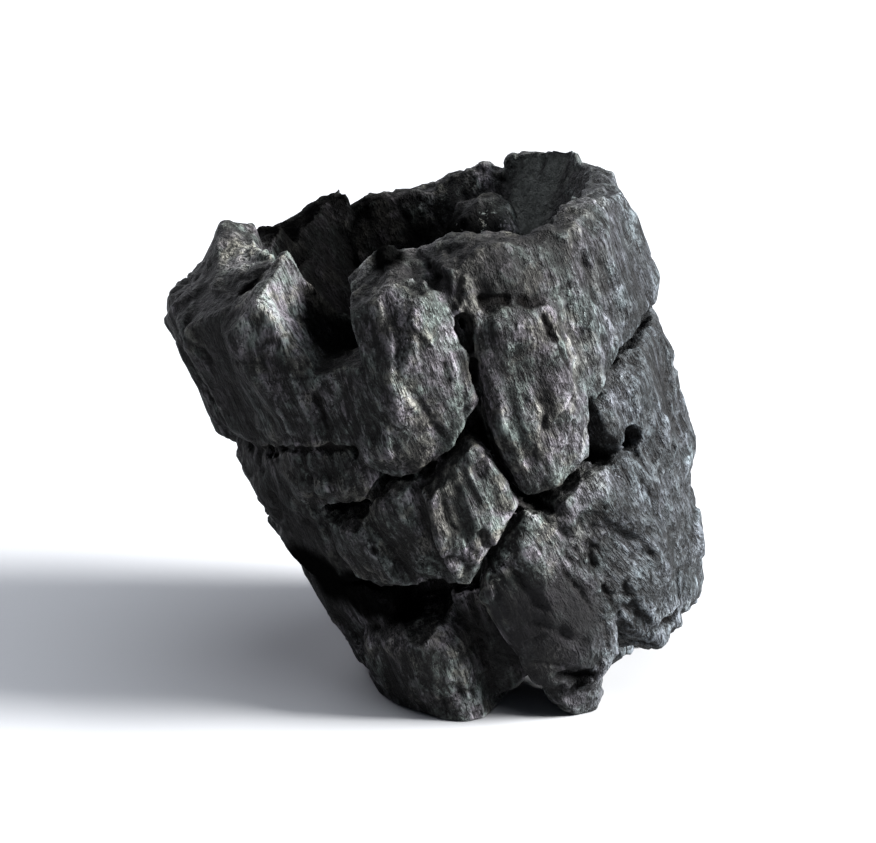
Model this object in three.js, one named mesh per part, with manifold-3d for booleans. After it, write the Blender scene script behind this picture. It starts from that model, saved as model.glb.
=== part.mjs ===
// A lump of hardwood charcoal: a short piece of trunk, charred through, standing on its broken lower end.
// It is one body. Drying shrinkage has split its outer wood into blocks, parted by cracks that run along
// and across the grain, and the upper end has broken out to an open hollow with a ragged rim.
// Millimetres and degrees, +Z up, the front faces -Y, and the ground is at Z = 0.
import * as THREE from "three";
import { ConvexGeometry } from "three/addons/geometries/ConvexGeometry.js";
import { mergeVertices } from "three/addons/utils/BufferGeometryUtils.js";
import Module from "manifold-3d";

const wasm = await Module();
wasm.setup();

// The trunk: its pith line leans to the left, and its middle is this high above the ground.
const LEAN = THREE.MathUtils.degToRad(18.6);
const MID_HEIGHT = 47.2;
const FRONT_DEPTH = 35;
const BACK_DEPTH = 36;
// How far the wood reaches to the left and to the right of the pith, as [place along the grain, reach].
const LEFT_REACH = [[-60, 30], [-40, 32], [-28, 34], [-17, 36.5], [-4, 39], [8, 40], [28, 41], [37, 42.5], [60, 40]];
const RIGHT_REACH = [[-60, 28], [-44, 31.5], [-26, 35.5], [-14, 38.5], [8, 39], [15, 41.2], [27, 41.2], [36, 39.5], [60, 37]];
// How the depth thins towards the lower end, as a share of the depth at mid height.
const DEPTH_SHARE = [[-60, 0.8], [-36, 0.86], [0, 1], [60, 1.02]];

// The blocks: how deep they reach, the round of their edges, and how much they widen towards their roots.
const CRACK_DEPTH = 10.5;
const ROOT_DEPTH = 17;
const EDGE_ROUND = 0.8;
const ROOT_SPLAY = 0.9;

const COAL = { color: 0x1b1c1e, roughness: 0.62, metalness: 0 };

// A value read off a short list of [place, value] pairs, straight between them.
function along(list, place) {
  const next = list.findIndex(([at]) => at >= place);
  if (next === 0) return list[0][1];
  if (next < 0) return list[list.length - 1][1];
  const [[a, low], [b, high]] = [list[next - 1], list[next]];
  return low + ((high - low) * (place - a)) / (b - a);
}

// The same numbers on every run, from a seed.
function seeded(seed) {
  let state = seed;
  return (low, high) => {
    state = (state * 1664525 + 1013904223) % 4294967296;
    return low + ((high - low) * state) / 4294967296;
  };
}

// From the trunk's own frame (across, back, along the grain) to the lump's frame.
function place(across, back, grain) {
  return new THREE.Vector3(
    across * Math.cos(LEAN) - grain * Math.sin(LEAN),
    back,
    MID_HEIGHT + across * Math.sin(LEAN) + grain * Math.cos(LEAN),
  );
}

// The trunk's reach from the pith at an angle round it (0 at the front, + to the right).
function reach(angle, grain) {
  const turn = THREE.MathUtils.degToRad(angle);
  const side = along(Math.sin(turn) < 0 ? LEFT_REACH : RIGHT_REACH, grain);
  const depth = (Math.cos(turn) > 0 ? FRONT_DEPTH : BACK_DEPTH) * along(DEPTH_SHARE, grain);
  return [side * Math.sin(turn), -depth * Math.cos(turn)];
}

// A point at an angle round the pith, so far outside (+) or inside (-) the trunk's mean surface.
function onTrunk(angle, grain, proud) {
  const [across, back] = reach(angle, grain);
  const share = 1 + proud / Math.hypot(across, back);
  return place(across * share, back * share, grain);
}

// Where the trunk's surface comes down to a height above the ground, as a place along the grain.
function grainAtHeight(angle, height) {
  let grain = height - MID_HEIGHT;
  for (let round = 0; round < 6; round++) {
    grain = (height - MID_HEIGHT - reach(angle, grain)[0] * Math.sin(LEAN)) / Math.cos(LEAN);
  }
  return grain;
}

// A closed geometry as a solid that can be joined and cut.
function solid(geometry) {
  const bare = geometry.clone();
  bare.deleteAttribute("normal");
  bare.deleteAttribute("uv");
  const merged = mergeVertices(bare, 1e-4);
  return new wasm.Manifold(
    new wasm.Mesh({
      numProp: 3,
      vertProperties: merged.attributes.position.array,
      triVerts: new Uint32Array(merged.index.array),
    }),
  );
}

function joined(solids) {
  return solids.reduce((whole, piece) => whole.add(piece));
}

// One block of wood between cracks. Its outline is a list of [angle, grain, rise], where rise lifts the
// block's inner end above that corner. Its crest is a list of [angle, grain, proud].
function block({ outline, proud = 0, round = EDGE_ROUND, crest = [] }) {
  const middle = [0, 1].map((i) => outline.reduce((sum, corner) => sum + corner[i], 0) / outline.length);
  const points = crest.map(([angle, grain, up]) => onTrunk(angle, grain, up));
  for (const [angle, grain, rise = 0] of outline) {
    const [across, back] = reach(angle, grain);
    const perDegree = (Math.hypot(across, back) * Math.PI) / 180;
    const [away, up] = [(angle - middle[0]) * perDegree, grain - middle[1]];
    const inward = 1 - Math.min(0.6, (1.2 * round) / Math.hypot(away, up));
    const outward = 1 + ROOT_SPLAY / Math.hypot(away, up);
    points.push(
      onTrunk(angle, grain, proud - round),
      onTrunk(middle[0] + (angle - middle[0]) * inward, middle[1] + up * inward, proud),
      onTrunk(middle[0] + (angle - middle[0]) * outward, middle[1] + up * outward + rise, -ROOT_DEPTH),
    );
  }
  return solid(new ConvexGeometry(points));
}

// The blocks of the front and of both flanks, each as its outline, clockwise from the upper left. Blocks whose
// outlines overlap meet in a crease; the others stand apart, with a crack between them.
const FRONT_BLOCKS = {
  ridge: {
    outline: [
      [-15, 37, 3], [2, 40.5, 3], [13, 38, 3], [14.4, 30], [13.8, 18], [11.8, 14.8], [6.6, 12.4],
      [1.2, 8], [-7, 5.6], [-15.5, 6], [-22, 10], [-17, 26],
    ],
    crest: [[9, 37, 1.6], [3, 31, 3.8], [-3, 25, 4.6], [-8, 19, 4.6], [-12, 11.5, 3.4]],
  },
  notched: {
    outline: [[-48, 39.5, 5], [-34, 44, 4], [-26, 31, 5], [-14, 29, 5], [-18, 20], [-20.5, 12.6], [-50, 13.8], [-52, 26]],
    proud: -0.4,
    crest: [[-41, 38, 2.4], [-38, 28, 3], [-34, 16, 2.2]],
  },
  notched_lower: {
    outline: [[-52, 12.4], [-20.5, 11.2], [-20, 6], [-27, 1.4], [-38, 1.4], [-51, 2.8]],
    proud: -0.6,
    crest: [[-40, 8, 1.6], [-30, 6, 1.8]],
  },
  shoulder: {
    outline: [[-76, 40, 4], [-46.5, 41, 3], [-50, 26], [-49.5, 13.8], [-54, 12.6], [-77, 13]],
    proud: -0.8,
    crest: [[-62, 38, 1.8], [-61, 18, 1.6]],
  },
  flank: {
    outline: [[-102, 39, 5], [-73, 40.5, 4], [-75, 26], [-76, 14], [-92, 13], [-103, 15]],
    proud: 0,
    crest: [[-86, 36, 1.6], [-87, 20, 1]],
  },
  diamond: {
    outline: [
      [-8.6, 3], [0, 5.6], [7, 8.4], [10.7, 4.2], [12.6, -1.5], [13.6, -6], [6.5, -9], [-2, -13.6],
      [-6.5, -17.8], [-10, -16.6],
    ],
    proud: 1,
    crest: [[-7.4, 1.5, 3.4], [-8.8, -8, 4.2], [-8.8, -15.5, 2.6], [6, 4, 1.6], [4, -7, 1.4]],
  },
  stepped: {
    outline: [[-27, 0], [-22, 2.8], [-16, 4.8], [-6, 3.4], [-7, -10], [-7.5, -17.4], [-14, -17], [-21, -16.6]],
    proud: -0.4,
    crest: [[-16, 2, 1.8], [-14, -8, 1.4]],
  },
  stepped_left: {
    outline: [[-42, -7.5], [-40, -0.5], [-26, 0], [-23, -8], [-20, -16.6], [-28, -16.6], [-40, -14]],
    proud: 0.4,
    crest: [[-28, -2.5, 2.8], [-24, -14, 2.6]],
  },
  broad: {
    outline: [
      [14.6, 14], [15.4, 24], [17, 30], [26, 30.6], [34, 29.5], [40, 25], [42.5, 12], [40.5, 2.5],
      [36.5, -3.3], [25, -6.2], [16.4, -4.6], [13.6, 4],
    ],
    proud: 1,
    crest: [[23, 27, 2.6], [21, 12, 3], [24, -1, 2.6], [33, 8, 3.2], [34, 24, 2.6]],
  },
  brow: {
    outline: [[13.4, 32], [16, 39.5, 2], [30, 40.5, 2], [44, 37, 2], [42, 27], [34, 28], [18, 29]],
    proud: 0.2,
    crest: [[28, 34, 1.4]],
  },
  sliver: {
    outline: [[37, 26], [41, 36.5, 2], [52, 37, 2], [56, 9.5], [43.5, 4.2], [40, 12]],
    proud: 0.6,
    crest: [[48, 20, 2], [48, 32, 1.4]],
  },
  rim_right: {
    outline: [[50, 36.5, 2], [60, 37, 2], [75, 36.5, 1], [76, 12.5], [62, 11], [53.5, 10], [48, 22]],
    proud: 0.8,
    crest: [[60, 30, 2.4], [62, 17, 2.2]],
  },
  rim_far_right: {
    outline: [[72, 35.5, 1], [84, 34, 1], [100, 34, 1], [101, 14], [84, 10.8], [73, 12.2]],
    proud: 0.8,
    crest: [[84, 28, 1.8], [84, 16, 1.6]],
  },
  cheek: {
    outline: [[42.6, 3], [55, 7.6], [73, 9.4], [76, -21], [66, -22], [55.5, -13], [48, -6.6], [42.6, -1]],
    proud: 0.8,
    crest: [[57, 2, 2.6], [66, -12, 2.2]],
  },
  cheek_right: {
    outline: [[70, 9], [84, 9.2], [100, 8], [101, -20], [84, -26], [71, -22.5]],
    proud: 0.8,
    crest: [[82, 2, 2], [84, -16, 2]],
  },
  haunch: {
    outline: [
      [21.5, -13], [23, -8.6], [29, -9.8], [36, -6.2], [46, -6.8], [55, -11.5], [66, -20.5], [63, -36],
      [61.5, -46], [48, -47], [36, -40], [31, -35], [29.5, -27],
    ],
    proud: 1,
    crest: [[34, -10, 2.2], [42, -18, 3], [50, -32, 3], [52, -43, 2]],
  },
  haunch_right: {
    outline: [[60, -16], [74, -23], [96, -26], [99, -40], [97, -48], [78, -47], [64, -44], [64.5, -36]],
    proud: 1,
    crest: [[76, -30, 2.6], [80, -42, 2.4]],
  },
  smooth: {
    outline: [
      [14.5, -8.2], [21.5, -10.4], [27, -20], [32, -28], [33, -36], [31, -43], [20, -47], [9, -45.5],
      [0.5, -42], [-2.4, -30], [-5.8, -21.6], [-2, -17.6], [8, -11.6],
    ],
    proud: 1.2,
    round: 1.4,
    crest: [[14, -14, 2.2], [12, -26, 3], [20, -36, 2.8]],
  },
  foot_left: {
    outline: [
      [-50, -26], [-34, -24], [-20, -24.8], [-16.5, -30], [-17.5, -38], [-20, -50], [-34, -54],
      [-50, -52], [-62, -47], [-60, -34],
    ],
    proud: 2,
    round: 2,
    crest: [[-26, -28, 3.8], [-28, -38, 4.2], [-46, -38, 3.2]],
  },
  recess: {
    outline: [[-18, -21.5], [-6, -22.4], [-1.5, -31], [0, -42], [-9, -44], [-20, -45], [-18, -30]],
    proud: -5,
    crest: [[-9, -30, -4]],
  },
  hip: {
    outline: [[-78, 12.6], [-53, 11.6], [-52, 3], [-41.5, -0.5], [-42.5, -8], [-41.5, -14.5], [-58, -16], [-80, -13]],
    proud: -0.4,
    crest: [[-62, 4, 1.6], [-60, -10, 1.4]],
  },
  hip_lower: {
    outline: [[-82, -13.5], [-60, -15.6], [-43, -16.4], [-35, -19], [-50, -25], [-60, -33], [-62, -45], [-84, -43]],
    proud: -0.8,
    crest: [[-68, -24, 0.8]],
  },
};

// The staves of the hidden side, each split across by its own number of breaks, set by a rule.
const STAVES = [
  { from: 100, to: 121, breaks: 1 },
  { from: 121, to: 149, breaks: 2 },
  { from: 149, to: 168, breaks: 0 },
  { from: 168, to: 197, breaks: 3 },
  { from: 197, to: 231, breaks: 1, foot: true },
  { from: 231, to: 252, breaks: 2 },
  { from: 252, to: 280, breaks: 2 },
];
const RIM_GRAIN = [[99, 34], [110, 34.6], [150, 36.5], [160, 34.5], [185, 34], [212, 35.6], [228, 38], [250, 38.5], [282, 38]];
const SPLIT = 0.5;
const CLEARANCE = 6.5;

// The boundary between two staves wanders from side to side up the trunk.
const WANDER = 2.6;

function boundary(angle, grain) {
  return angle + WANDER * Math.sin(grain * 0.075 + angle * 0.9);
}

function staves() {
  const random = seeded(23);
  const blocks = [];
  STAVES.forEach(({ from, to, breaks, foot }, index) => {
    const middle = (from + to) / 2;
    const bottom = grainAtHeight(middle, foot ? -2 : CLEARANCE + random(-1.5, 3));
    const top = along(RIM_GRAIN, middle) + random(-0.8, 0.8);
    const levels = [top];
    for (let i = 1; i <= breaks; i++) {
      levels.push(top + ((bottom - top) * (i + random(-0.32, 0.32))) / (breaks + 1));
    }
    levels.push(bottom);
    for (let j = 0; j + 1 < levels.length; j++) {
      const [high, low] = [levels[j] - (j ? SPLIT : 0), levels[j + 1] + SPLIT];
      const [left, right] = [random(-0.8, 1.1), random(-1.1, 0.8)];
      const edge = (side, grain) => (side < 0 ? boundary(from, grain) + left : boundary(to, grain) + right);
      const slant = random(-3, 3) * (j ? 1 : 0.5);
      const share = random(0.25, 0.75);
      const ridge = (grain) => edge(-1, grain) * (1 - share) + edge(1, grain) * share;
      const proud = random(-1.4, 1.4) + (index % 2 ? 0.5 : -0.3);
      const dip = j + 2 < levels.length ? slant * 0.6 : 0;
      const mid = (high + low) / 2;
      blocks.push(
        block({
          outline: [
            [edge(-1, high), high - slant, j ? 0 : 1], [ridge(high), high + random(-1, 1.6), j ? 0 : 1],
            [edge(1, high), high + slant, j ? 0 : 1], [edge(1, mid), mid],
            [edge(1, low), low + dip], [ridge(low), low - random(0, 1.6)],
            [edge(-1, low), low - dip], [edge(-1, mid), mid],
          ],
          proud,
          crest: [
            [ridge(high), high - 2, proud + random(1, 3)],
            [ridge(low) + random(-3, 3), low + 2, proud + random(0.6, 2.6)],
          ],
        }),
      );
    }
  });
  return blocks;
}

// The whole wood under the blocks, seen at the bottom of each crack.
const CORE_SIDES = 40;
const CORE_LEVELS = [-1, -0.86, -0.6, -0.3, 0, 0.35, 0.7, 1];

function core() {
  const points = [];
  const faces = [];
  const ends = (angle) => [grainAtHeight(angle, CLEARANCE + 2.5), 34];
  for (const level of CORE_LEVELS) {
    for (let i = 0; i < CORE_SIDES; i++) {
      const angle = (i * 360) / CORE_SIDES;
      const [low, high] = ends(angle);
      const grain = (low + high) / 2 + ((high - low) / 2) * level;
      const depth = CRACK_DEPTH + (level === -1 ? 4 : 0) + 1.1 * Math.sin(angle * 0.21 + level * 9);
      points.push(...onTrunk(angle, grain, -depth).toArray());
    }
  }
  const rows = CORE_LEVELS.length;
  for (let row = 0; row + 1 < rows; row++) {
    for (let i = 0; i < CORE_SIDES; i++) {
      const [a, b] = [row * CORE_SIDES + i, row * CORE_SIDES + ((i + 1) % CORE_SIDES)];
      faces.push(a, b, b + CORE_SIDES, a, b + CORE_SIDES, a + CORE_SIDES);
    }
  }
  const [bottom, top] = [points.length / 3, points.length / 3 + 1];
  points.push(...place(0, 0, grainAtHeight(0, CLEARANCE + 4)).toArray(), ...place(0, 0, 34).toArray());
  for (let i = 0; i < CORE_SIDES; i++) {
    const next = (i + 1) % CORE_SIDES;
    const last = (rows - 1) * CORE_SIDES;
    faces.push(bottom, next, i, top, last + i, last + next);
  }
  const geometry = new THREE.BufferGeometry();
  geometry.setAttribute("position", new THREE.Float32BufferAttribute(points, 3));
  geometry.setIndex(faces);
  return solid(geometry);
}

// The hollow of the upper end, from its rim down to its floor, as [across, back, grain] corners.
const HOLLOW_RIM = [
  [-24, 3, 50], [-20, -16, 46], [-12, -22, 40], [2, -22.5, 44], [18, -22, 40], [28.5, -20, 35], [34, -5, 34],
  [37, 8, 34], [33, 20, 35], [20, 29, 36], [3, 31, 36], [-12, 28, 40], [-21, 17, 46],
];
const HOLLOW_FLOOR = [
  [-13, 4, 17], [-11, -9, 15], [3, -14, 13], [14, -12, 13], [22, 2, 15], [15, 14, 15], [0, 16, 17], [-11, 12, 19],
];
const ABOVE = 24;

function hollow() {
  const corners = [...HOLLOW_RIM, ...HOLLOW_FLOOR].map((corner) => place(...corner));
  for (const [across, back, grain] of HOLLOW_RIM) {
    corners.push(place(across * 1.1, back * 1.1, grain + ABOVE));
  }
  return solid(new ConvexGeometry(corners));
}

// The open notch in the front rim, between the ridge block and its left neighbour. Its left wall slants.
const NOTCH = [
  [-19.5, -37, 27.5], [-31, -37, 58], [-12.5, -20, 30], [-15, -18, 58], [-8, -42, 27.5], [-5, -42, 58], [-7, -18, 30], [-5, -18, 58],
];

// The pointed spur that stands on the left wall of the hollow.
const SPUR = [
  [-22, -10.5, 41.5], [-31.5, -13.5, 42.5], [-28.5, 5, 48.5], [-24, 10, 44.5], [-36, 2, 41], [-34, 13, 39],
  [-21, -12, 20], [-32, -16, 20], [-37, 0, 20], [-34, 12, 20], [-24, 10, 20],
];

// The heel under the right side, one of the points that the lump stands on.
const HEEL = [
  [10, 0, -40], [25, 0, -40], [27, 17, -40], [11, 19, -40], [22, 2, -49], [24, 14, -49],
  [12, 3, -55], [18, 3, -58], [19.5, 12, -57], [12, 14, -55],
];

// The round stub under the smooth block, which the front of the lump stands on.
const STUB = [
  [1, -14, -42], [12, -13, -42], [12, -27, -43], [1, -28, -43],
  [1.5, -17, -48], [4, -14, -48], [9.5, -14.5, -48], [11.6, -19, -48], [10.4, -26, -48], [5, -28.5, -48], [1.5, -24, -48],
  [3, -18, -53], [6, -16.5, -54], [8.8, -19, -54], [8.4, -24, -54], [5, -25.5, -53], [2.6, -22, -53],
];

function hull(corners) {
  return solid(new ConvexGeometry(corners.map((corner) => place(...corner))));
}

// Broken ends of fibre bundles, which stand on the hollow's floor and hang from the lower end.
function splinters({ count, seed, from, to, foot, tip, vary }) {
  const random = seeded(seed);
  const made = [];
  for (let i = 0; i < count; i++) {
    const angle = i * 137.5 + random(-12, 12);
    const share = from + ((to - from) * (i + 0.5)) / count;
    const [across, back] = reach(angle, foot).map((side) => side * share);
    const end = tip(angle, share) + random(-vary, vary);
    const corners = [];
    for (let k = 0; k < 5; k++) {
      const turn = (k * 2 * Math.PI) / 5 + random(-0.4, 0.4);
      const wide = random(2.4, 5.4);
      const [a, b] = [across + wide * Math.cos(turn), back + wide * Math.sin(turn)];
      corners.push([a, b, foot], [a, b, end + random(-2.5, 2.5)]);
    }
    made.push(hull(corners));
  }
  return made;
}

const FLOOR_SPLINTERS = {
  count: 30, seed: 5, from: 0.1, to: 0.74, foot: 6, vary: 3.5,
  tip: (angle, share) => 17 + 34 * Math.max(0, share - 0.42),
};
const UNDER_SPLINTERS = {
  count: 18, seed: 9, from: 0.1, to: 0.62, foot: -28, vary: 2,
  tip: (angle) => grainAtHeight(angle, 8),
};

// The knot on the hollow's back wall.
const KNOT = { across: 14, back: 21.5, grain: 25.5, radius: 7, rough: 0.15 };

function knot() {
  const random = seeded(3);
  const ball = new THREE.IcosahedronGeometry(KNOT.radius, 2);
  ball.deleteAttribute("normal");
  ball.deleteAttribute("uv");
  const geometry = mergeVertices(ball, 1e-3);
  const { position } = geometry.attributes;
  const centre = place(KNOT.across, KNOT.back, KNOT.grain);
  for (let i = 0; i < position.count; i++) {
    const swell = 1 + random(-KNOT.rough, KNOT.rough);
    const spot = new THREE.Vector3().fromBufferAttribute(position, i).multiplyScalar(swell).add(centre);
    position.setXYZ(i, spot.x, spot.y, spot.z);
  }
  return solid(geometry);
}

// Round holes and pits, as [angle, grain, radius, depth].
const PITS = [[51, -5, 2.1, 13], [13.5, 38, 2, 5]];

function pit([angle, grain, radius, depth]) {
  const corners = [];
  for (let i = 0; i < 10; i++) {
    const turn = (i * Math.PI) / 5;
    const degrees = (radius / 0.62) * Math.cos(turn);
    for (const [proud, share] of [[8, 1.15], [-depth, 0.7]]) {
      corners.push(onTrunk(angle + degrees * share, grain + radius * share * Math.sin(turn), proud));
    }
  }
  return solid(new ConvexGeometry(corners));
}

function ground() {
  const slab = new THREE.BoxGeometry(300, 300, 60);
  slab.translate(0, 0, -30);
  return solid(slab);
}

function lump() {
  const wood = joined([
    core(),
    ...Object.values(FRONT_BLOCKS).map(block),
    ...staves(),
    ...splinters(UNDER_SPLINTERS),
    hull(HEEL),
    hull(STUB),
  ]);
  const openings = joined([hollow(), hull(NOTCH), ...PITS.map(pit)]);
  const inner = joined([...splinters(FLOOR_SPLINTERS), knot(), hull(SPUR)]).subtract(hull(NOTCH));
  const whole = wood.subtract(openings).add(inner).subtract(ground());
  return whole.decompose().sort((a, b) => b.volume() - a.volume())[0];
}

// The finished solid, moved so that its box is centred over the origin and stands on Z = 0.
function finished(body) {
  const mesh = body.getMesh();
  const geometry = new THREE.BufferGeometry();
  geometry.setAttribute("position", new THREE.BufferAttribute(mesh.vertProperties, 3));
  geometry.setIndex(new THREE.BufferAttribute(mesh.triVerts, 1));
  geometry.computeBoundingBox();
  const { min, max } = geometry.boundingBox;
  geometry.translate(-(min.x + max.x) / 2, -(min.y + max.y) / 2, -min.z);
  geometry.computeVertexNormals();
  return geometry;
}

const charcoal = new THREE.Mesh(finished(lump()), new THREE.MeshStandardMaterial(COAL));
charcoal.name = "charcoal_lump";

const group = new THREE.Group();
group.add(charcoal);

export default group;
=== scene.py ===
import math

import bmesh
import bpy
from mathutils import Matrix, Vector


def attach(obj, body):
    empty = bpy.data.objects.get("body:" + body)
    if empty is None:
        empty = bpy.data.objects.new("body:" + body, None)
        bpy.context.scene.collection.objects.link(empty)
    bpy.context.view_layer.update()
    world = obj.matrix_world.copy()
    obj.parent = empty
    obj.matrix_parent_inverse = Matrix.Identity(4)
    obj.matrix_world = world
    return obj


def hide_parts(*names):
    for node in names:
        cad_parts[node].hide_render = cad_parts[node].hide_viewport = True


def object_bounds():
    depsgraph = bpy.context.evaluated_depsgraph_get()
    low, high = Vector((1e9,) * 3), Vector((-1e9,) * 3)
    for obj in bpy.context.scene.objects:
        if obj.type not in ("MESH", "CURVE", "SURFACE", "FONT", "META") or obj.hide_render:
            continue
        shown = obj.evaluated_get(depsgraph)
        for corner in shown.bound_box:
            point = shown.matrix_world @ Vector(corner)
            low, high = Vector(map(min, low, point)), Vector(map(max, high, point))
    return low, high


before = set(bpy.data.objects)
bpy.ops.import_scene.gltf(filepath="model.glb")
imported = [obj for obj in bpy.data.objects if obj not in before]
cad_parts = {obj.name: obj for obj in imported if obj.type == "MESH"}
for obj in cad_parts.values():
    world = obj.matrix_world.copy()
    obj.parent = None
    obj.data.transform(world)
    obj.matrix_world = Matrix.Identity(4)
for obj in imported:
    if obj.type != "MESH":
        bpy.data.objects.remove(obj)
cad_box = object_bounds()


# The lump: a short piece of hardwood trunk, charred through. Drying split it into blocks along and across
# the grain, and both ends broke off ragged. Its solid form comes from the CAD part; here the same form
# gets the wood's cleavage steps, fibre ridges, broken fibre ends and jagged crack edges.
MILLIMETRE = 0.001
SAME_POINT = 1e-6

# A shelf under the upper left block, which closes the gap there to a thin crack.
SHELF_CORNERS = (
    (-28.2, -23.4, 50.6),
    (-25.0, -27.3, 52.3),
    (-21.8, -29.0, 53.0),
    (-18.4, -29.9, 53.3),
    (-15.5, -30.4, 53.5),
    (-27.9, -20.2, 43.8),
    (-25.0, -25.8, 46.4),
    (-21.8, -28.0, 47.3),
    (-18.4, -29.4, 47.9),
    (-14.9, -30.8, 48.7),
    (-27.2, -14.0, 50.6),
    (-14.5, -14.0, 53.5),
    (-26.9, -14.0, 43.8),
    (-13.9, -14.0, 48.7),
)

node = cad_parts["charcoal_lump"]
wood_mesh = node.data.copy()
edit = bmesh.new()
edit.from_mesh(wood_mesh)
bmesh.ops.remove_doubles(edit, verts=edit.verts, dist=SAME_POINT)
for corner in SHELF_CORNERS:
    edit.verts.new([length * MILLIMETRE for length in corner])
edit.verts.ensure_lookup_table()
hull = bmesh.ops.convex_hull(edit, input=edit.verts[-len(SHELF_CORNERS):])
bmesh.ops.delete(edit, geom=hull["geom_interior"], context="VERTS")
edit.to_mesh(wood_mesh)
edit.free()
wood_mesh.materials.clear()
lump = bpy.data.objects.new("burnt_wood", wood_mesh)
bpy.context.scene.collection.objects.link(lump)


class Wire:
    """A socket of a node tree, so that plain Python sums lay the Math nodes."""

    def __init__(self, tree, socket=None):
        self.tree = tree
        self.socket = socket

    @staticmethod
    def in_use(sockets, name):
        """The socket at this place, or the one of this name that the node's settings leave in use."""
        if isinstance(name, int):
            return sockets[name]
        return next(s for s in sockets if s.enabled and s.name == name)

    def node(self, kind, settings=None, inputs=None, output=0):
        """Adds a node: its settings first, then the values or links of its sockets."""
        made = self.tree.nodes.new(kind)
        for name, value in (settings or {}).items():
            setattr(made, name, value)
        for name, value in (inputs or {}).items():
            socket = self.in_use(made.inputs, name)
            if isinstance(value, Wire):
                self.tree.links.new(value.socket, socket)
            else:
                socket.default_value = value
        return Wire(self.tree, self.in_use(made.outputs, output) if made.outputs else None)

    def out(self, name):
        """Another output of the same node."""
        return Wire(self.tree, self.socket.node.outputs[name])

    def sum(self, operation, *others):
        """A Math node on values, or a Vector Math node where one of them is a vector."""
        parts = [self, *others]
        are_vectors = [isinstance(p, Wire) and p.socket.type == "VECTOR" for p in parts]
        if not any(are_vectors):
            return self.node("ShaderNodeMath", {"operation": operation}, dict(enumerate(parts)))
        if operation == "MULTIPLY" and not all(are_vectors):
            whole, share = parts if are_vectors[0] else parts[::-1]
            return self.node("ShaderNodeVectorMath", {"operation": "SCALE"}, {0: whole, "Scale": share})
        return self.node("ShaderNodeVectorMath", {"operation": operation}, dict(enumerate(parts)))

    def __add__(self, other):
        return self.sum("ADD", other)

    def __radd__(self, other):
        return self.sum("ADD", other)

    def __mul__(self, other):
        return self.sum("MULTIPLY", other)

    def __rmul__(self, other):
        return self.sum("MULTIPLY", other)

    def __sub__(self, other):
        return self.sum("SUBTRACT", other)

    def __rsub__(self, other):
        return self.node("ShaderNodeMath", {"operation": "SUBTRACT"}, {0: other, 1: self})

    def __pow__(self, other):
        return self.sum("POWER", other)

    def fade(self, low, high, start=0.0, end=1.0):
        """Goes smoothly from start to end as the value goes from low to high."""
        return self.node(
            "ShaderNodeMapRange",
            {"interpolation_type": "SMOOTHSTEP"},
            {"Value": self, "From Min": low, "From Max": high, "To Min": start, "To Max": end},
        )

    def dot(self, direction):
        settings = {"operation": "DOT_PRODUCT"}
        return self.node("ShaderNodeVectorMath", settings, {0: self, 1: direction}, "Value")

    def spaced(self, spacing):
        """The place in steps of so many millimetres."""
        return self * (1 / spacing)

    def stretched(self, across, along):
        """The grain place in steps of so many millimetres across and along the fibres."""
        return self.node(
            "ShaderNodeVectorMath",
            {"operation": "MULTIPLY"},
            {0: self, 1: (1 / across, 1 / across, 1 / along)},
        )

    def noise(self, detail=2.0, rough=0.5, output="Fac"):
        inputs = {"Vector": self, "Scale": 1.0, "Detail": detail, "Roughness": rough}
        return self.node("ShaderNodeTexNoise", {}, inputs, output)

    def cells(self, feature="F1", output="Color"):
        return self.node("ShaderNodeTexVoronoi", {"feature": feature}, {"Vector": self, "Scale": 1.0}, output)

    def centred(self):
        """A noise colour as a push with no drift of its own."""
        middle_grey = self.node("ShaderNodeCombineXYZ", {}, {"X": 0.5, "Y": 0.5, "Z": 0.5})
        return (self - middle_grey) * 2

    def push(self, spacing, detail=3.0, rough=0.6):
        """A push this way and that, which changes over so many millimetres."""
        return self.spaced(spacing).noise(detail, rough, "Color").centred()


# The fibres run along the pith, a line through this point that leans this far to the left. At the lower
# right they swing out, and all of them waver a little.
PITH_LEAN = math.radians(18.6)
PITH_POINT = (3.7, 0.0, 47.2)
ACROSS_WAY = (math.cos(PITH_LEAN), 0.0, math.sin(PITH_LEAN))
BACK_WAY = (0.0, 1.0, 0.0)
GRAIN_WAY = (-math.sin(PITH_LEAN), 0.0, math.cos(PITH_LEAN))
SWING_PLACE = (24.0, -40.0)
SWING_WIDTH = 17.0
SWING = -9.0
WAVER = 1.6
WAVER_SPACING = 26.0


def grain_place(place):
    """The place in millimetres across, back and along the fibres, which swing out at the lower right."""
    from_pith = place - PITH_POINT
    across = from_pith.dot(ACROSS_WAY)
    along = from_pith.dot(GRAIN_WAY)
    offset = (across - SWING_PLACE[0]) ** 2 + (along - SWING_PLACE[1]) ** 2
    swing = (offset * (-1 / SWING_WIDTH**2)).sum("EXPONENT") * SWING
    depth = from_pith.dot(BACK_WAY)
    plain = place.node("ShaderNodeCombineXYZ", {}, {"X": across + swing, "Y": depth, "Z": along})
    return plain + from_pith.push(WAVER_SPACING, 1.0, 0.5) * WAVER


def broken_share(facing):
    """1 on broken fibre ends, 0 on faces along the fibres."""
    return facing.dot(GRAIN_WAY).sum("ABSOLUTE").fade(0.5, 0.82)


def nearness(place, middle_at, reach, edge=0.3):
    """1 near this place, 0 beyond its reach."""
    far = place.node("ShaderNodeVectorMath", {"operation": "DISTANCE"}, {0: place, 1: middle_at}, "Value")
    return far.fade(reach * (1 - edge), reach * (1 + edge), 1.0, 0.0)


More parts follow.
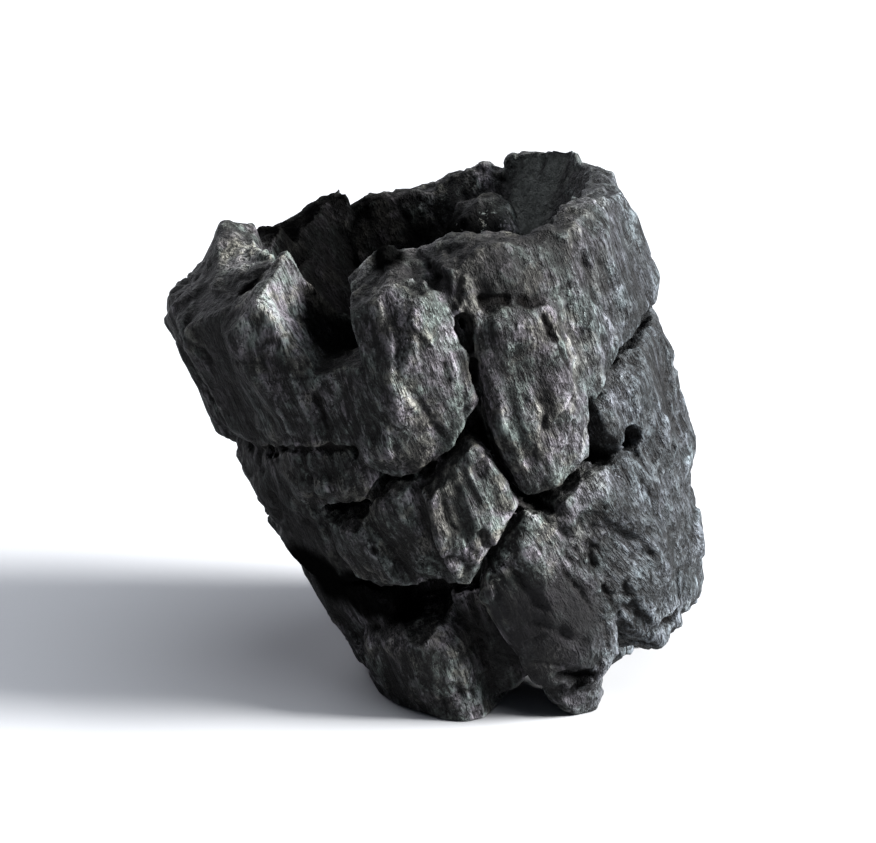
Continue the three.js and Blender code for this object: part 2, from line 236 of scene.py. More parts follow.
# The faces where the wood broke smooth, as a middle and a reach: the lower front and the hollow's back wall.
SMOOTH_PLACES = (((18.5, -34.0, 17.5), 12.5), ((21.0, 19.0, 86.0), 10.5))
SMOOTH_RAGGED = 2.4
SMOOTH_RAGGED_SPACING = 5.0


def smoothness(place):
    """1 on the faces where the wood broke smooth, with a ragged edge."""
    ragged_place = place + place.push(SMOOTH_RAGGED_SPACING, 4.0, 0.65) * SMOOTH_RAGGED
    first, second = [nearness(ragged_place, middle_at, reach, 0.2) for middle_at, reach in SMOOTH_PLACES]
    return first.sum("MAXIMUM", second)


# How far the edges of splinters and facets, and then single cracks, stray from their lines, and over what
# length.
JAG = 0.7
JAG_SPACING = 2.2
CROOK = 1.5
CROOK_SPACING = 2.6


def jagged_grain(place, grain):
    """The grain place as it strays, for splinters and facets with jagged edges."""
    return grain + place.push(JAG_SPACING) * JAG


def crooked(place):
    """The place as it strays, for lines and swells with uneven edges."""
    return place + place.push(CROOK_SPACING) * CROOK


def crack_line(place, facing, start, end, wide):
    """1 along a line over the surface that tapers at both ends, measured along the surface."""
    run = Vector(end) - Vector(start)
    from_start = place - start
    share = from_start.dot(tuple(run / run.length_squared)).sum("MAXIMUM", 0.0).sum("MINIMUM", 1.0)
    nearest = place.node("ShaderNodeCombineXYZ", {}, {"X": run.x, "Y": run.y, "Z": run.z}) * share
    apart = from_start - nearest
    rise = apart.dot(facing)
    beside = place.node("ShaderNodeVectorMath", {"operation": "LENGTH"}, {0: apart - facing * rise}, "Value")
    taper = (share * 2 - 1) ** 4 * wide
    line = (beside + taper).fade(wide * 0.3, wide * 1.3, 1.0, 0.0)
    return line * rise.sum("ABSOLUTE").fade(2.5, 4.0, 1.0, 0.0)


def evened(value, rounds):
    """The value evened out with its neighbours, so many times."""
    settings = {"data_type": "FLOAT_VECTOR"}
    return value.node("GeometryNodeBlurAttribute", settings, {"Value": value, "Iterations": rounds})


def largest(values):
    """The largest of the values at each spot."""
    top = None
    for value in values:
        top = value if top is None else top.sum("MAXIMUM", value)
    return top


# How far each feature moves the surface, in millimetres.
SIZES = {
    "Edge wander": 0.3,
    "Edge crumble": 0.12,
    "Edge chip": 0.7,
    "Cleavage step": 0.46,
    "Facet tilt": 1.5,
    "Fibre ridge": 0.46,
    "Broken end": 1.5,
    "Shrink crack": 0.9,
    "Single crack": 1.0,
    "Crevice crumbs": 0.6,
    "Crack width": 0.22,
}
# How wide and how long each feature is, in millimetres across and along the fibres.
COARSE_SPLINTER = (5.5, 40.0)
FINE_SPLINTER = (2.3, 24.0)
THIN_SPLINTER = (1.2, 14.0)
RIDGE = (1.4, 24.0)
LARGE_FACET = (9.0, 22.0)
SMALL_FACET = (3.6, 10.0)
FIBRE_BUNDLE = (3.4, 60.0)
STRAND = (1.4, 40.0)
CRACKED_CELL = (8.5, 34.0)
CROSS_CELL = (10.0, 8.0)
# Over how many millimetres the plain noises change.
CHIP_SPACING = 3.1
CRACK_GROUP_SPACING = 15.0
CROSS_GROUP_SPACING = 19.0
WANDER_SPACING = 8.5
CRUMBLE_SPACING = 2.4
CRUMB_SPACING = 1.5
# How many times the surface is evened out before its corners are told from its faces.
CORNER_EVENING = 9
# Single cracks: from, to, half their width and their depth, in millimetres.
SINGLE_CRACKS = (
    ((0.6, -36.1, 73.2), (2.3, -35.4, 68.0), 0.35, 1.1),
    ((17.0, -30.2, 80.1), (20.7, -30.4, 73.1), 0.4, 1.1),
    ((31.3, -20.1, 66.7), (27.3, -24.3, 59.8), 0.5, 1.4),
    ((43.1, -15.3, 25.2), (44.0, -15.0, 17.3), 0.8, 1.6),
    ((44.0, -15.0, 17.3), (39.4, -20.8, 15.0), 0.9, 1.8),
    ((20.3, -29.6, 9.6), (28.6, -28.0, 9.2), 0.9, 1.6),
    ((3.8, -33.6, 80.5), (5.6, -32.6, 72.5), 0.9, 2.2),
    ((5.6, -32.6, 72.5), (7.0, -31.0, 64.0), 1.0, 2.4),
    ((6.5, -32.8, 82.4), (12.9, -31.0, 82.0), 1.0, 1.1),
    ((12.9, -31.0, 82.0), (18.6, -28.8, 80.6), 1.1, 1.3),
    ((17.6, -30.4, 79.5), (20.1, -30.7, 74.1), 0.7, 1.6),
    ((20.1, -30.7, 74.1), (22.6, -29.9, 67.8), 0.6, 1.3),
    ((-21.5, -30.6, 66.0), (-19.5, -31.2, 58.0), 0.4, 1.0),
    ((-33.5, -15.0, 49.0), (-25.3, -24.0, 52.0), 0.5, 1.5),
    ((-26.5, -23.0, 51.8), (-14.0, -30.5, 54.8), 0.5, 1.5),
    ((-13.5, -28.5, 40.0), (-11.5, -30.5, 31.0), 0.5, 1.1),
    ((36.0, -22.8, 47.0), (39.5, -21.0, 38.0), 0.4, 1.0),
    ((25.5, -29.5, 36.0), (32.0, -27.5, 24.5), 0.4, 0.9),
    ((21.0, -31.5, 33.5), (28.5, -29.0, 20.5), 0.5, 1.0),
    ((20.5, -31.8, 36.0), (28.4, -27.7, 28.5), 0.3, 0.7),
    ((28.4, -27.7, 28.5), (32.8, -24.9, 18.5), 0.3, 0.7),
    ((25.0, -29.5, 37.5), (32.2, -26.1, 28.0), 0.3, 0.7),
    ((32.2, -26.1, 28.0), (36.5, -23.0, 17.4), 0.3, 0.7),
)
# Swells and dents of single blocks: their middle, their reach and their height.
SWELLS = (
    ((12.1, -33.3, 78.6), 4.5, 0.9),
    ((15.0, -34.0, 67.0), 5.0, -1.1),
    ((13.5, -34.2, 60.0), 4.5, 0.5),
    ((25.0, -25.3, 75.5), 5.0, -0.8),
    ((30.5, -18.5, 83.0), 4.0, -0.6),
    ((-27.0, -30.0, 66.0), 5.0, 0.6),
    ((-31.5, -28.5, 60.0), 4.5, -0.7),
    ((33.0, -26.0, 33.0), 5.0, -0.7),
    ((38.0, -21.5, 28.0), 5.0, 0.6),
    ((-9.0, -29.0, 13.0), 4.0, 0.6),
    ((-38.5, -3.0, 41.5), 3.0, -1.6),
)
carving = bpy.data.node_groups.new("charred wood surface", "GeometryNodeTree")
port = carving.interface
port.new_socket("Geometry", in_out="INPUT", socket_type="NodeSocketGeometry")
for name, value in SIZES.items():
    port.new_socket(name, in_out="INPUT", socket_type="NodeSocketFloat").default_value = value
for name in ("Box low", "Box high"):
    port.new_socket(name, in_out="INPUT", socket_type="NodeSocketVector")
port.new_socket("Wood", in_out="INPUT", socket_type="NodeSocketMaterial")
port.new_socket("Geometry", in_out="OUTPUT", socket_type="NodeSocketGeometry")
field = Wire(carving)
given = field.node("NodeGroupInput")
size = {name: given.out(name) for name in SIZES}

resting = field.node("GeometryNodeInputPosition")
place = resting * (1 / MILLIMETRE)
facing = field.node("GeometryNodeInputNormal")
grain = grain_place(place)
endness = broken_share(facing)

# Corners of the blocks stand proud of a blurred copy of the surface, and there they chip away.
proud = (place - evened(place, CORNER_EVENING)).dot(facing)
corner = proud.fade(0.1, 0.42)
open_face = proud.fade(-0.35, -0.05)
shut_face = 1 - open_face
smooth_face = smoothness(place)
chip = place.spaced(CHIP_SPACING).noise(3.0, 0.6).fade(0.44, 0.62) * corner

# Long splinters cleave off in steps, coarse and fine, with jagged outlines.
jagged = jagged_grain(place, grain)
coarse_split = jagged.stretched(*COARSE_SPLINTER).cells().dot((1.0, 0.0, 0.0)) - 0.5
fine_split = jagged.stretched(*FINE_SPLINTER).cells().dot((0.0, 1.0, 0.0)) - 0.5
thin_split = grain.stretched(*THIN_SPLINTER).cells().dot((0.0, 0.0, 1.0)) - 0.5
step = coarse_split * 0.8 + fine_split * 0.8 + thin_split * 0.45
ridge = (grain.stretched(*RIDGE).noise(3.0, 0.65) - 0.5) * 2


def tilted(extent):
    """Flat facets this wide and long, each tilted its own way, as wood breaks along its rings and rays."""
    scaled = jagged.stretched(*extent)
    cell_middle = scaled.cells("F1", "Position")
    return (scaled - cell_middle).dot(cell_middle.out("Color").centred())


facet = tilted(LARGE_FACET) + tilted(SMALL_FACET) * 0.35

# Broken fibre ends stand at uneven heights, in bundles.
bundle = grain.stretched(*FIBRE_BUNDLE).cells().dot((1.0, 0.0, 0.0)) - 0.4
strand = grain.stretched(*STRAND).cells().dot((0.0, 1.0, 0.0)) - 0.4
ragged_end = bundle * 0.6 + strand * 0.5

# Fine shrinkage cracks run along the fibres, with a few short ones across, and a few stand alone.
crack_grain = jagged.stretched(*CRACKED_CELL).cells("DISTANCE_TO_EDGE", "Distance").fade(0.0, 0.06, 1.0, 0.0)
crack_group = place.spaced(CRACK_GROUP_SPACING).noise(2.0, 0.5).fade(0.50, 0.60)
cross_grain = jagged.stretched(*CROSS_CELL).cells("DISTANCE_TO_EDGE", "Distance").fade(0.01, 0.045, 1.0, 0.0)
cross_group = place.spaced(CROSS_GROUP_SPACING).noise(1.0, 0.5).fade(0.50, 0.58)
crack = crack_grain * crack_group + cross_grain * cross_group * 0.7
crooked_place = crooked(place)
single = largest(
    crack_line(crooked_place, facing, start, end, wide) * deep for start, end, wide, deep in SINGLE_CRACKS
)

swell = 0.0
for middle_at, reach, high in SWELLS:
    swell = nearness(crooked_place, middle_at, reach, 0.6) * high + swell

# All of it together, sunk in and pushed about, inside the CAD box and with the resting spots kept flat.
sink = step * size["Cleavage step"] + ridge * size["Fibre ridge"] + facet * (size["Facet tilt"] * 0.5)
sink = sink * (1 - endness) * open_face * (1 - smooth_face * 0.85)
sink = sink + endness * ragged_end * size["Broken end"] * open_face
sink = sink + shut_face * size["Crack width"]
sink = sink + crack * size["Shrink crack"] + single * size["Single crack"] + chip * size["Edge chip"]
move = place.push(WANDER_SPACING, 2.0, 0.5) * size["Edge wander"]
move = move + place.push(CRUMBLE_SPACING, 2.0, 0.6) * size["Edge crumble"]
move = move + place.push(CRUMB_SPACING, 2.0, 0.6) * shut_face * size["Crevice crumbs"]
move = move + facing * (swell - sink)

free_place = resting + move * MILLIMETRE
kept = free_place.sum("MAXIMUM", given.out("Box low")).sum("MINIMUM", given.out("Box high"))
off_floor = field.node("ShaderNodeSeparateXYZ", {}, {"Vector": place}, "Z").fade(0.3, 1.6)
kept = resting + (kept - resting) * off_floor
carved_shape = field.node("GeometryNodeSetPosition", {}, {"Geometry": given, "Position": kept})
carved_shape = field.node("GeometryNodeRealizeInstances", {}, {"Geometry": carved_shape})
carved_shape = field.node(
    "GeometryNodeSetMaterial", {}, {"Geometry": carved_shape, "Material": given.out("Wood")}
)
leave = carving.nodes.new("NodeGroupOutput")
carving.links.new(carved_shape.socket, leave.inputs["Geometry"])

# A second tree notes on the carved skin where the fibres run, where they end, and how far each spot
# stands proud of what is round it, for the painted highlights on crests and the painted shade in cracks.
# The left side is painted darker as shade, and faces turned to the right and back are painted darker to
# hold back the key lamp.
SHADED_WAY = (-0.80, -0.42, -0.43)
PAINTED_DIM_WAY = (0.85, 0.52, 0.10)
FRONT_WAY = (0.0, -1.0, 0.0)
CALM_EVENING = 6
# How many times the surface is evened out before it is set against itself, from fine to wide.
PROUD_EVENING = {"crest": 3, "relief": 16, "valley": 110}
# The painted shade beside a single crack reaches so many times its width.
CRACK_SHADE_REACH = 1.6

noting = bpy.data.node_groups.new("charred wood notes", "GeometryNodeTree")
noting.interface.new_socket("Geometry", in_out="INPUT", socket_type="NodeSocketGeometry")
noting.interface.new_socket("Wood", in_out="INPUT", socket_type="NodeSocketMaterial")
noting.interface.new_socket("Geometry", in_out="OUTPUT", socket_type="NodeSocketGeometry")
field = Wire(noting)
given = field.node("NodeGroupInput")
settled = field.node("GeometryNodeInputPosition") * (1 / MILLIMETRE)
facing = field.node("GeometryNodeInputNormal")
calm_facing = evened(facing, CALM_EVENING)


def noted(shape, name, value):
    """Stores the value on every point of the shape under this name."""
    kind = "FLOAT_VECTOR" if value.socket.type == "VECTOR" else "FLOAT"
    inputs = {"Geometry": shape, "Name": name, "Value": value}
    return shape.node("GeometryNodeStoreNamedAttribute", {"data_type": kind, "domain": "POINT"}, inputs)


grain = grain_place(settled)
jagged = jagged_grain(settled, grain)
large_tone = jagged.stretched(*LARGE_FACET).cells().dot((1.0, 0.0, 0.0))
small_tone = jagged.stretched(*SMALL_FACET).cells().dot((0.0, 1.0, 0.0))
crooked_place = crooked(settled)
crack_shade = largest(
    crack_line(crooked_place, calm_facing, start, end, wide * CRACK_SHADE_REACH)
    for start, end, wide, _ in SINGLE_CRACKS
)
notes = noted(given, "grain", grain)
notes = noted(notes, "broken_end", broken_share(calm_facing))
notes = noted(notes, "facet_tone", large_tone * 0.6 + small_tone * 0.4)
notes = noted(notes, "smooth_face", smoothness(settled) * facing.dot(FRONT_WAY).fade(0.3, 0.7))
notes = noted(notes, "shaded_side", calm_facing.dot(SHADED_WAY).fade(-0.1, 0.75))
notes = noted(notes, "crack_shade", crack_shade)
notes = noted(notes, "painted_dim_side", calm_facing.dot(PAINTED_DIM_WAY).fade(0.35, 0.9))
for name, rounds in PROUD_EVENING.items():
    notes = noted(notes, name, (settled - evened(settled, rounds)).dot(facing))
notes = field.node("GeometryNodeRealizeInstances", {}, {"Geometry": notes})
notes = field.node("GeometryNodeSetMaterial", {}, {"Geometry": notes, "Material": given.out("Wood")})
leave = noting.nodes.new("NodeGroupOutput")
noting.links.new(notes.socket, leave.inputs["Geometry"])

# Charcoal is dull black on its broken ends, and its cracks are painted near-black as shade. Along the fibres
# its cool graphite sheen is painted into the colour, greyest on crests as a painted highlight, with thin
# dark vessel lines, and it is brownish deep in the cracks.
SOOT = (0.0030, 0.0029, 0.0029, 1.0)
PALE_SOOT = (0.0085, 0.0080, 0.0078, 1.0)
DEEP_SHADE_BLACK = (0.0014, 0.0014, 0.0014, 1.0)
GREEN_GRAPHITE = (0.200, 0.238, 0.222, 1.0)
PLUM_GRAPHITE = (0.245, 0.226, 0.252, 1.0)
OLIVE_GRAPHITE = (0.224, 0.218, 0.188, 1.0)
BLUE_GRAPHITE = (0.156, 0.184, 0.208, 1.0)
BROWN_CHAR = (0.009, 0.0068, 0.0055, 1.0)
SMOOTH_CHAR = (0.0125, 0.0120, 0.0132, 1.0)
HOLLOW_WALL = (0.112, 0.118, 0.110, 1.0)

# How wide and how long each mark of the fibres is, in millimetres.
BUNDLE_MARK = (1.9, 30.0)
FIBRE_MARK = (0.6, 9.0)
HAIR_MARK = (0.24, 3.0)
VESSEL_MARK = (0.45, 4.5)
FLAKE_MARK = (1.7, 6.5)
CHIP_MARK = (0.75, 2.2)
BLOTCH_MARK = (1.5, 3.4)
FLECK_MARK = (0.42, 0.95)
GLINT_MARK = (0.34, 0.9)
GLINT_GROUP = (0.7, 1.6)
# Over how many millimetres the marks without a grain change.
PORE_SPACING = 0.8
PATCH_SPACING = 11.0
MOTTLE_SPACING = 2.6
SPECK_SPACING = 1.1
SPECK_GROUP_SPACING = 3.0
HUE_SPACING = 5.6
WARM_SPACING = 9.0
PLACE_EDGE_SPACING = 9.0
BUMP_HEIGHT = 0.65

# Places painted darker, as a middle, a reach and the share of sheen lost: the front rim, the lower right,
# the right edge and the knob, and painted shade on the upper left, in the gap beside the left foot and on the
# left side.
DARKER_PLACES = (
    ((-2.0, -31.0, 90.0), 8.0, 0.68),
    ((14.9, -28.4, 88.0), 8.0, 0.68),
    ((9.0, -31.0, 86.0), 5.0, 0.5),
    ((25.0, -21.0, 87.0), 6.0, 0.3),
    ((34.0, -27.0, 30.0), 14.0, 0.52),
    ((21.3, -32.2, 23.6), 8.0, 0.45),
    ((-43.0, -15.0, 71.0), 16.0, 0.6),
    ((17.0, -21.5, 91.0), 5.0, 0.75),
    ((6.0, -24.5, 91.0), 5.0, 0.6),
    ((7.0, -24.5, 16.0), 6.0, 0.85),
    ((11.0, -23.5, 8.0), 5.0, 0.8),
    ((48.0, -18.0, 58.0), 15.0, 0.4),
    ((-44.0, -22.0, 18.0), 40.0, 0.35),
    ((-38.0, -30.0, 56.0), 18.0, 0.25),
    ((24.0, -27.0, 4.5), 5.0, 0.5),
    ((-31.0, -11.0, 25.0), 19.0, 0.8),
)
# Painted highlights, as a middle, a reach and the sheen gained: the lit faces of the two points at the upper
# left, the faces of two middle blocks, and the top of the block beside the notch.
HIGHLIGHT_PLACES = (
    ((-33.5, -5.5, 82.0), 5.0, 1.5),
    ((-28.0, -28.0, 78.5), 7.0, 0.95),
    ((-0.1, -34.0, 66.0), 8.0, 0.10),
    ((7.5, -34.0, 45.0), 6.0, 0.10),
    ((-13.0, -23.5, 86.0), 2.2, 0.6),
    ((-10.0, -34.0, 83.6), 3.2, 0.3),
)
# Painted deep shade, nearly black: the hollow, the notch, the crevice over the left foot, the gap beside the
# knob, and the dents between the two points and beside the notch.
DEEP_SHADE_PLACES = (
    ((-1.0, 1.0, 78.0), 21.0),
    ((-14.0, 14.0, 78.0), 20.0),
    ((-17.0, -19.0, 74.0), 9.0),
    ((-23.0, -19.0, 22.5), 8.0),
    ((24.5, -29.0, 9.4), 3.4),
    ((-14.0, -22.0, 22.5), 6.0),
    ((-7.0, -22.0, 22.0), 5.0),
    ((-31.5, -18.5, 79.0), 3.4),
    ((-22.0, -4.0, 72.0), 10.0),
    ((-9.5, -25.5, 89.5), 4.0),
)
# The knot that stands in the hollow, dark, with a few bright specks painted on as glints.
KNOT_PLACE = (7.5, 15.5, 79.0)
KNOT_REACH = 5.5

burnt = bpy.data.materials.new("burnt_wood")
burnt.use_nodes = True
burnt.node_tree.nodes.clear()
shade = Wire(burnt.node_tree)


def stored_value(name, output="Fac"):
    return shade.node("ShaderNodeAttribute", {"attribute_name": name}, {}, output)


fibre_place = stored_value("grain", "Vector")
crest = stored_value("crest")
relief = stored_value("relief")
valley = stored_value("valley")
broken = stored_value("broken_end")
shaded_side = stored_value("shaded_side")
painted_dim_side = stored_value("painted_dim_side")
crack_shade = stored_value("crack_shade")
smooth_face = stored_value("smooth_face")
facet_tone = stored_value("facet_tone")
spot = shade.node("ShaderNodeTexCoord", {}, {}, "Object") * (1 / MILLIMETRE)

bundles = fibre_place.stretched(*BUNDLE_MARK).noise(3.0, 0.55).fade(0.42, 0.58)
fibres = fibre_place.stretched(*FIBRE_MARK).noise(3.0, 0.6)
hairs = fibre_place.stretched(*HAIR_MARK).noise(3.0, 0.6)
vessels = fibre_place.stretched(*VESSEL_MARK).noise(2.0, 0.5).fade(0.60, 0.66)
flakes = fibre_place.stretched(*FLAKE_MARK).cells().dot((1.0, 0.0, 0.0))
chips = fibre_place.stretched(*CHIP_MARK).cells().dot((0.0, 1.0, 0.0))
blotches = fibre_place.stretched(*BLOTCH_MARK).noise(3.0, 0.68).fade(0.40, 0.61)
flecks = fibre_place.stretched(*FLECK_MARK).noise(2.0, 0.6).fade(0.585, 0.66)
glints = fibre_place.stretched(*GLINT_MARK).cells("F1", "Distance").fade(0.16, 0.36, 1.0, 0.0)
glints = glints * fibre_place.stretched(*GLINT_GROUP).noise(2.0, 0.6).fade(0.53, 0.62)
pores = spot.spaced(PORE_SPACING).noise(2.0, 0.7)
patches = spot.spaced(PATCH_SPACING).noise(3.0, 0.62).fade(0.36, 0.60)
mottle = spot.spaced(MOTTLE_SPACING).noise(3.0, 0.7).fade(0.38, 0.60)

# The share of graphite colour at each spot: streaks along the fibres, with the graphite sheen painted in
# as colour, painted highlights on crests and raised edges, painted glints and flecks, and painted shade in
# hollows, creases and on the shaded left side.
streak = fibres.fade(0.44, 0.60) * 0.36 + hairs.fade(0.44, 0.62) * 0.16 + bundles * 0.28 + chips * 0.20
grain_tone_and_painted_light = streak * (patches * 0.58 + 0.30) + mottle * 0.12
# Random flakes and blotches, and painted shade in small hollows.
grain_tone_and_painted_light = grain_tone_and_painted_light * (flakes * 0.8 + 0.6) * (blotches * 1.05 + 0.42) * (relief.fade(-0.45, 0.35) * 0.75 + 0.25)
# Painted highlights on crests and raised edges.
grain_tone_and_painted_light = grain_tone_and_painted_light + crest.fade(0.02, 0.13) * 0.33 + relief.fade(0.25, 0.8) * 0.16
# Painted glints and flecks.
grain_tone_and_painted_light = grain_tone_and_painted_light + glints * 0.4 + flecks * (blotches * 0.32 + 0.1)
grain_tone_and_painted_light = grain_tone_and_painted_light * (1 - broken * 0.6) * (1 - vessels * 0.85) * (pores.fade(0.34, 0.46) * 0.8 + 0.2)
# Painted shade in wide hollows and round cracks, and a painted lift on wide crests.
grain_tone_and_painted_light = grain_tone_and_painted_light * valley.fade(-1.3, 0.5, 0.32, 1.16)
# Painted shade in creases and on the left side.
sunken = relief.fade(-0.9, -0.2, 1.0, 0.0)
grain_tone_and_painted_light = (grain_tone_and_painted_light * (1 - sunken * 0.85) - shaded_side * 0.10).sum("MAXIMUM", 0.0) * (1 - shaded_side * 0.52)

# Places painted darker, painted highlights and painted deep shade, with ragged edges.
place_edge = spot.push(PLACE_EDGE_SPACING)
for middle_at, reach, loss in DARKER_PLACES:
    grain_tone_and_painted_light = grain_tone_and_painted_light * (1 - nearness(spot + place_edge * (reach * 0.25), middle_at, reach) * loss)
streaked_gain = (fibres.fade(0.42, 0.57) * 0.88 + 0.12) * (1 - shaded_side * 0.95)
for middle_at, reach, gain in HIGHLIGHT_PLACES:
    highlit = nearness(spot + place_edge * (reach * 0.2), middle_at, reach, 0.45)
    grain_tone_and_painted_light = grain_tone_and_painted_light + highlit * gain * streaked_gain
# Painted deep shade in the hollow and crevices, kept off the smooth faces.
deep = largest(
    nearness(spot + place_edge * (reach * 0.25), middle_at, reach, 0.22) for middle_at, reach in DEEP_SHADE_PLACES
)
deep = deep * (1 - smooth_face)
knot = nearness(spot, KNOT_PLACE, KNOT_REACH)
specks = spot.spaced(SPECK_SPACING).noise(4.0, 0.7).fade(0.57, 0.625)
specks = specks * spot.spaced(SPECK_GROUP_SPACING).noise(1.0, 0.5).fade(0.46, 0.54)
grain_tone_and_painted_light = grain_tone_and_painted_light * (1 - deep * 0.97) * (1 - smooth_face * 0.78) * (1 - knot * 0.9) + knot * specks * 1.7
# Random tone per facet, painted darkening on faces turned right and back, and painted shade beside single
# cracks.
grain_tone_and_painted_light = grain_tone_and_painted_light * (facet_tone * 1.1 + 0.45) * (1 - painted_dim_side * 0.58) * (1 - crack_shade * 0.85)


def tinted(share, low, high):
    """A colour that goes from low to high as the share goes from 0 to 1."""
    settings = {"data_type": "RGBA", "clamp_factor": True}
    return shade.node("ShaderNodeMix", settings, {"Factor": share, "A": low, "B": high}, "Result")


# The graphite drifts from green to plum, olive on warm patches and broken ends, and blue at the right.
hue = spot.spaced(HUE_SPACING).noise(3.0, 0.6).fade(0.38, 0.62)
graphite = tinted(hue, GREEN_GRAPHITE, PLUM_GRAPHITE)
warm = (spot.spaced(WARM_SPACING) + fibre_place * 0.07).noise(3.0, 0.6).fade(0.50, 0.62)
graphite = tinted((warm * 0.8 + broken * 0.5).sum("MINIMUM", 1.0), graphite, OLIVE_GRAPHITE)
right_side = spot.dot((1.0, 0.0, 0.0)).fade(18.0, 36.0)
graphite = tinted(right_side * 0.8, graphite, BLUE_GRAPHITE)
soot = tinted(blotches * 0.6 + chips * 0.4, SOOT, PALE_SOOT)
# Soot, near-black in the painted deep shade, turning to graphite with the grain tone and painted light.
colour = tinted(grain_tone_and_painted_light, tinted(deep, soot, DEEP_SHADE_BLACK), graphite)
back_wall = spot.dot(BACK_WAY).fade(0.0, 6.0)
plain_char = tinted(back_wall, SMOOTH_CHAR, HOLLOW_WALL)
plain_share = smooth_face * (0.5 + back_wall * 0.35) * (1 - fibres.fade(0.42, 0.60) * 0.35)
colour = tinted(plain_share, colour, plain_char)
colour = tinted(sunken * 0.7 * (1 - deep), colour, BROWN_CHAR)
metal = glints * 0.5 * (1 - deep * (1 - knot)) * (1 - smooth_face)
roughness = 0.66 - grain_tone_and_painted_light * 0.3 + sunken * 0.2 + (pores - 0.5) * 0.2 + deep * 0.4 + smooth_face * 0.2

height = fibres * 0.7 + hairs * 0.3 + pores * (broken * 1.0 + 0.3) - vessels * 0.5 + mottle * 0.25
height = height + flakes * 0.35 + chips * 0.32 + blotches * 0.3 + flecks * 0.2
height = height * (1 - smooth_face * 0.5)
bump_inputs = {"Strength": 1.0, "Distance": BUMP_HEIGHT * MILLIMETRE, "Height": height}
bumped = shade.node("ShaderNodeBump", {}, bump_inputs, "Normal")
rubbed_wood = shade.node(
    "ShaderNodeBsdfPrincipled",
    {},
    {
        "Base Color": colour,
        "Roughness": roughness,
        "Normal": bumped,
        "Specular IOR Level": 0.12,
        "Metallic": metal,
    },
)
# A matte near-black with no gloss, for painted shade.
shade_matte = shade.node(
    "ShaderNodeBsdfPrincipled",
    {},
    {"Base Color": colour, "Roughness": 1.0, "Normal": bumped, "Specular IOR Level": 0.0},
)
# Painted shade: the deep places, creases and crack sides take the matte near-black, but not the knot or
# smooth faces.
shade_share = (deep * (1 - knot) + sunken * 0.7 + crack_shade * 0.8).sum("MINIMUM", 1.0) * (1 - smooth_face)
surface = shade.node("ShaderNodeMixShader", {}, {0: shade_share, 1: rubbed_wood, 2: shade_matte})
shade.node("ShaderNodeOutputMaterial", {}, {"Surface": surface})

# How fine the skin is before and after the carving, in millimetres, and how many triangles are kept.
CARVING_VOXEL = 0.44
SKIN_VOXEL = 0.40
CARVED_TRIANGLES = 190000


def closed_skin(piece, name, voxel):
    """One closed skin of even small squares over the piece, with its stair steps softened once."""
    skin = piece.modifiers.new(name, "REMESH")
    skin.mode = "VOXEL"
    skin.voxel_size = voxel * MILLIMETRE
    soften = piece.modifiers.new(name + " softened", "SMOOTH")
    soften.factor = 0.5
    soften.iterations = 1


def given_values(modifier, group, values):
    """Sets the named inputs of a Geometry Nodes modifier."""
    modifier.node_group = group
    for item in group.interface.items_tree:
        if item.item_type == "SOCKET" and item.in_out == "INPUT" and item.name in values:
            modifier[item.identifier] = values[item.name]


def made_plain(piece):
    """The piece's modifiers become its own mesh."""
    seen = piece.evaluated_get(bpy.context.evaluated_depsgraph_get())
    plain = bpy.data.meshes.new_from_object(seen)
    piece.modifiers.clear()
    piece.data = plain
    return plain


closed_skin(lump, "solid skin", CARVING_VOXEL)
values = {**SIZES, "Box low": list(cad_box[0]), "Box high": list(cad_box[1]), "Wood": burnt}
given_values(lump.modifiers.new("charred surface", "NODES"), carving, values)
closed_skin(lump, "carved skin", SKIN_VOXEL)
given_values(lump.modifiers.new("surface notes", "NODES"), noting, {"Wood": burnt})

skin = made_plain(lump)
thin = lump.modifiers.new("fewer faces", "DECIMATE")
thin.ratio = min(1.0, CARVED_TRIANGLES / sum(len(p.vertices) - 2 for p in skin.polygons))
skin = made_plain(lump)
for point in skin.vertices:
    point.co = [min(max(length, low), high) for length, low, high in zip(point.co, *cad_box)]
skin.shade_smooth()
print("burnt wood triangles", sum(len(p.vertices) - 2 for p in skin.polygons))

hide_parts("charcoal_lump")
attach(lump, "root")


# The studio: a wide pale floor with no edge in view, a strong low lamp from the right, a soft one above, and
# a weak one from the rear left. The front left gets no lamp, so that every ridge has a lit and a shaded face.
FLOOR_HALF = 4.0
FLOOR_GREY = (0.415, 0.42, 0.43, 1.0)
FLOOR_ROUGHNESS = 0.9
FLOOR_GLOSS = 0.1
# Each lamp's way round from the front, its way up, its strength, how many degrees wide it is, its colour.
LAMPS = {
    "key": (84.0, 28.0, 15.0, 20.0, (1.0, 1.0, 1.0)),
    "overhead": (80.0, 76.0, 2.4, 60.0, (0.90, 0.94, 1.0)),
    "rear fill": (215.0, 25.0, 2.4, 60.0, (0.92, 0.93, 1.0)),
}
LAMP_DISTANCE = 1.0
SKY_BLUE = (0.70, 0.80, 1.0, 1.0)
SKY_STRENGTH = 0.07

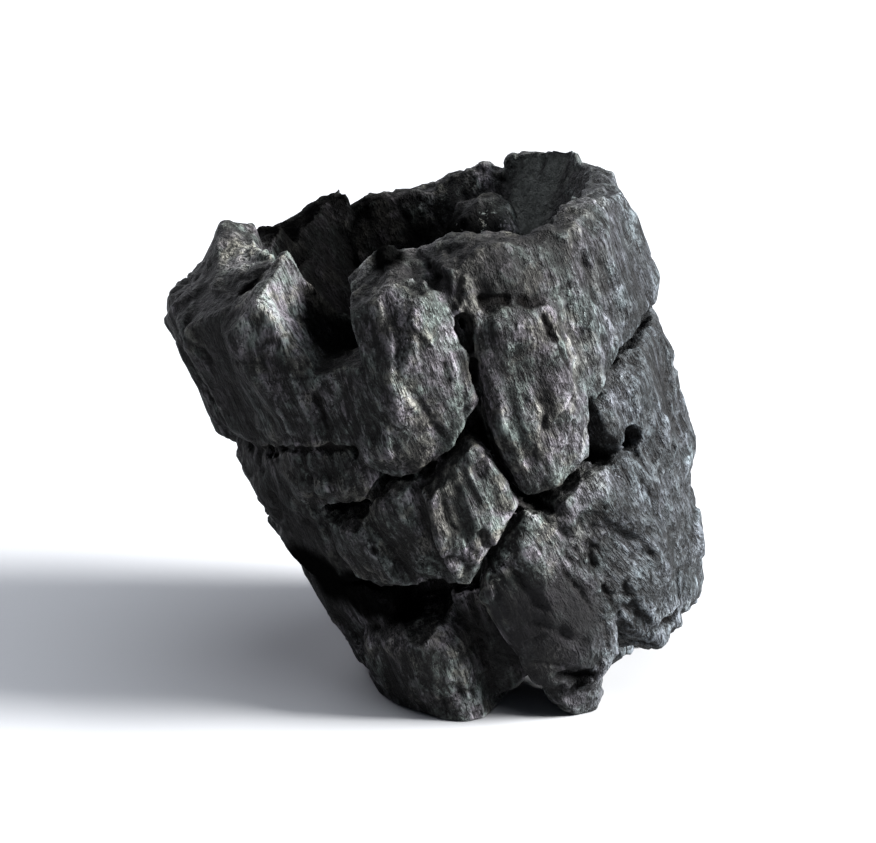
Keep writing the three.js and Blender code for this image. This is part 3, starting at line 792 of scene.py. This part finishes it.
floor_mesh = bpy.data.meshes.new("studio_floor")
corners = [(-1, -1), (1, -1), (1, 1), (-1, 1)]
floor_mesh.from_pydata([(x * FLOOR_HALF, y * FLOOR_HALF, 0.0) for x, y in corners], [], [(0, 1, 2, 3)])
floor = bpy.data.objects.new("studio_floor", floor_mesh)
bpy.context.scene.collection.objects.link(floor)
pale = bpy.data.materials.new("pale_floor")
pale.use_nodes = True
pale_surface = pale.node_tree.nodes["Principled BSDF"]
pale_surface.inputs["Base Color"].default_value = FLOOR_GREY
pale_surface.inputs["Roughness"].default_value = FLOOR_ROUGHNESS
pale_surface.inputs["Specular IOR Level"].default_value = FLOOR_GLOSS
floor_mesh.materials.append(pale)

middle = (cad_box[0] + cad_box[1]) / 2
for name, (azimuth, elevation, strength, width, colour) in LAMPS.items():
    light = bpy.data.lights.new(name, "SUN")
    light.energy = strength
    light.angle = math.radians(width)
    light.color = colour
    turn, rise = math.radians(azimuth), math.radians(elevation)
    way = Vector((math.sin(turn) * math.cos(rise), -math.cos(turn) * math.cos(rise), math.sin(rise)))
    holder = bpy.data.objects.new(name, light)
    holder.location = middle + way * LAMP_DISTANCE
    holder.rotation_euler = (-way).to_track_quat("-Z", "Y").to_euler()
    bpy.context.scene.collection.objects.link(holder)

sky = bpy.data.worlds.new("studio")
sky.use_nodes = True
sky.node_tree.nodes["Background"].inputs["Color"].default_value = SKY_BLUE
sky.node_tree.nodes["Background"].inputs["Strength"].default_value = SKY_STRENGTH
bpy.context.scene.world = sky
bpy.context.scene.view_settings.view_transform = "Standard"

# The camera looks at the front from a little above, as the photograph does, through a long lens.
CAMERA_RISE = math.radians(22.0)
CAMERA_DISTANCE = 0.78
WIDTH_IN_FRAME = 0.62
SENSOR_WIDTH = 36.0
CLOSEST_SEEN = 0.05
FARTHEST_SEEN = 30.0
camera = bpy.data.cameras.new("camera")
camera.sensor_width = SENSOR_WIDTH
camera.lens = SENSOR_WIDTH * WIDTH_IN_FRAME * CAMERA_DISTANCE / (cad_box[1].x - cad_box[0].x)
camera.clip_start = CLOSEST_SEEN
camera.clip_end = FARTHEST_SEEN
view_way = Vector((0.0, -math.cos(CAMERA_RISE), math.sin(CAMERA_RISE)))
stand = bpy.data.objects.new("camera", camera)
stand.location = middle + view_way * CAMERA_DISTANCE
stand.rotation_euler = (-view_way).to_track_quat("-Z", "Y").to_euler()
bpy.context.scene.collection.objects.link(stand)
bpy.context.scene.camera = stand
